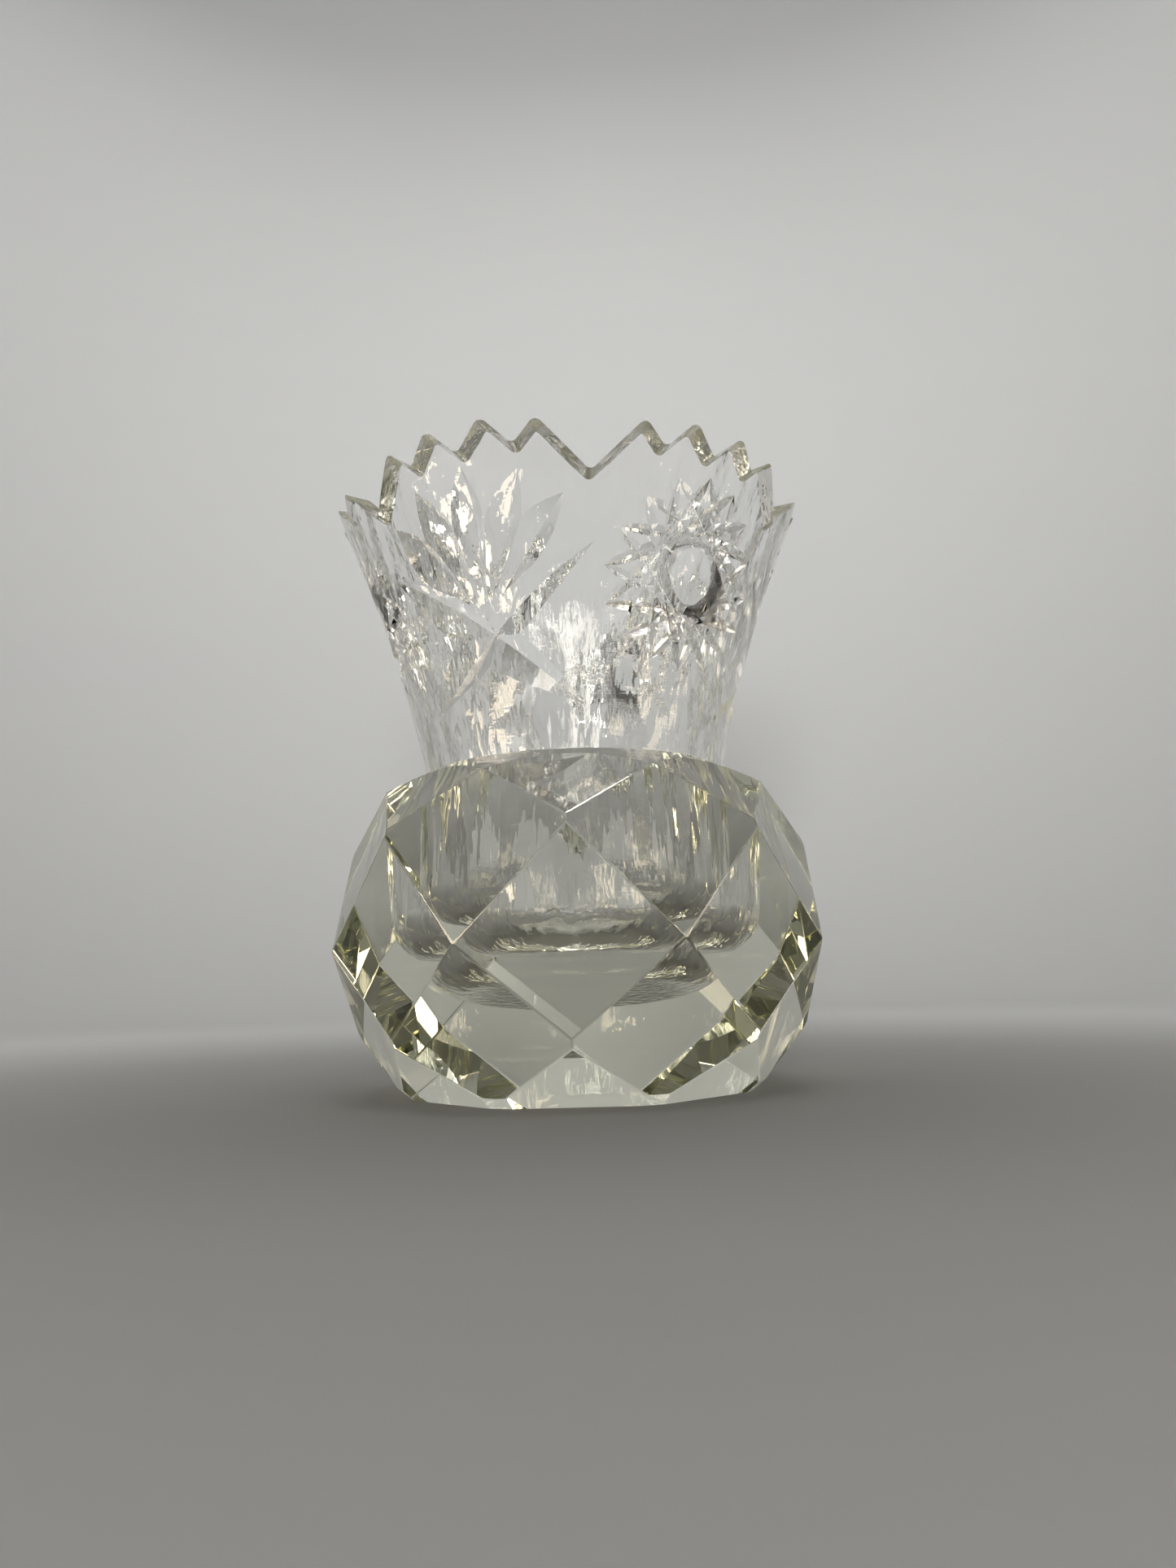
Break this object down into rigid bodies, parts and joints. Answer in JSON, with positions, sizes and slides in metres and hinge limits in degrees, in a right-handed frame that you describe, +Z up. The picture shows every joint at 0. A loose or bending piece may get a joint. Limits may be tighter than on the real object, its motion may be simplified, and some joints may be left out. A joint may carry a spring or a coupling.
{
  "type": "glass pick holder",
  "caption": "Small clear glass dish: a flared pressed cup with a toothed rim on a heavy block cut with diamond facets, with one round well.",
  "frame": {"origin": "middle of the flat face that the dish rests on", "axes": "+Z up along the dish's axis, towards the toothed rim; -Y is the front, which one middle facet of the block faces"},
  "size_m": [0.0496, 0.049, 0.0602],
  "materials": {
    "clear_glass": "clear glass with a faint olive tint, pressed cup and polished facets"
  },
  "bodies": {
    "root": {"cup": "clear_glass", "faceted_base": "clear_glass"}
  },
  "joints": []
}
